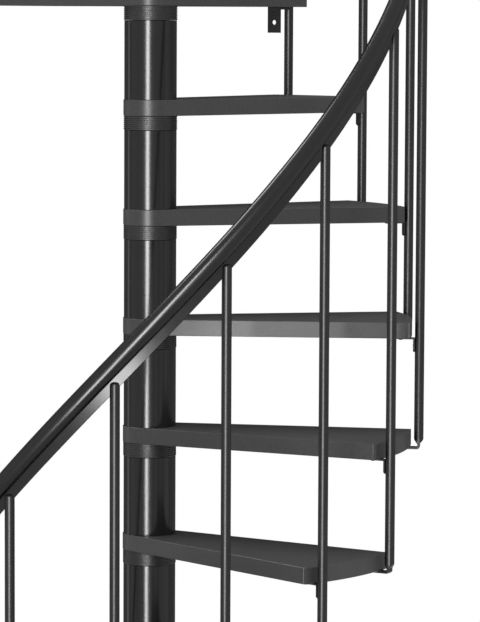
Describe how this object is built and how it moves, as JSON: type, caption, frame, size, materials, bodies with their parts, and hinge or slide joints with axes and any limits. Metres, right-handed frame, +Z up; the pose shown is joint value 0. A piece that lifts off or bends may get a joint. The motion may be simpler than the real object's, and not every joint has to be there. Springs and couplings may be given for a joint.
{
  "type": "spiral staircase",
  "caption": "Steel spiral staircase around a centre column, with a square landing, helical handrail, balusters, spacer rings and a bolted base flange.",
  "frame": {"origin": "middle of the base flange's underside, on the lower floor, on the column's axis", "axes": "+Z up along the column; angles in plan grow anticlockwise from +X as the stair climbs; the first tread is towards -X and the landing towards +Y"},
  "size_m": [1.1848, 1.4275, 3.7443],
  "materials": {
    "tread_paint": "satin dark grey powder coat",
    "column_paint": "gloss black powder coat",
    "baluster_paint": "semi-gloss black powder coat",
    "rail_paint": "semi-gloss black powder coat",
    "strip_paint": "gloss black powder coat",
    "bracket_paint": "satin black paint",
    "ring_plastic": "satin dark grey nylon",
    "cap_plastic": "black moulded plastic",
    "core_steel": "primed steel tube"
  },
  "bodies": {
    "root": {"baluster_01": "baluster_paint", "baluster_02": "baluster_paint", "baluster_03": "baluster_paint", "baluster_04": "baluster_paint", "baluster_05": "baluster_paint", "baluster_06": "baluster_paint", "baluster_07": "baluster_paint", "baluster_08": "baluster_paint", "baluster_09": "baluster_paint", "baluster_10": "baluster_paint", "baluster_11": "baluster_paint", "base_flange": "column_paint", "column_cap": "column_paint", "column_core": "core_steel", "column_sleeves": "column_paint", "guard_balusters": "baluster_paint", "guard_rail": "rail_paint", "guard_strip": "strip_paint", "handrail": "rail_paint", "handrail_strip": "strip_paint", "landing": "tread_paint", "landing_baluster": "baluster_paint", "landing_brackets": "bracket_paint", "landing_strut": "baluster_paint", "rail_end_caps": "cap_plastic", "spacer_rings": "ring_plastic", "tread_01": "tread_paint", "tread_02": "tread_paint", "tread_03": "tread_paint", "tread_04": "tread_paint", "tread_05": "tread_paint", "tread_06": "tread_paint", "tread_07": "tread_paint", "tread_08": "tread_paint", "tread_09": "tread_paint", "tread_10": "tread_paint", "tread_11": "tread_paint", "tread_brackets": "bracket_paint"}
  },
  "joints": []
}
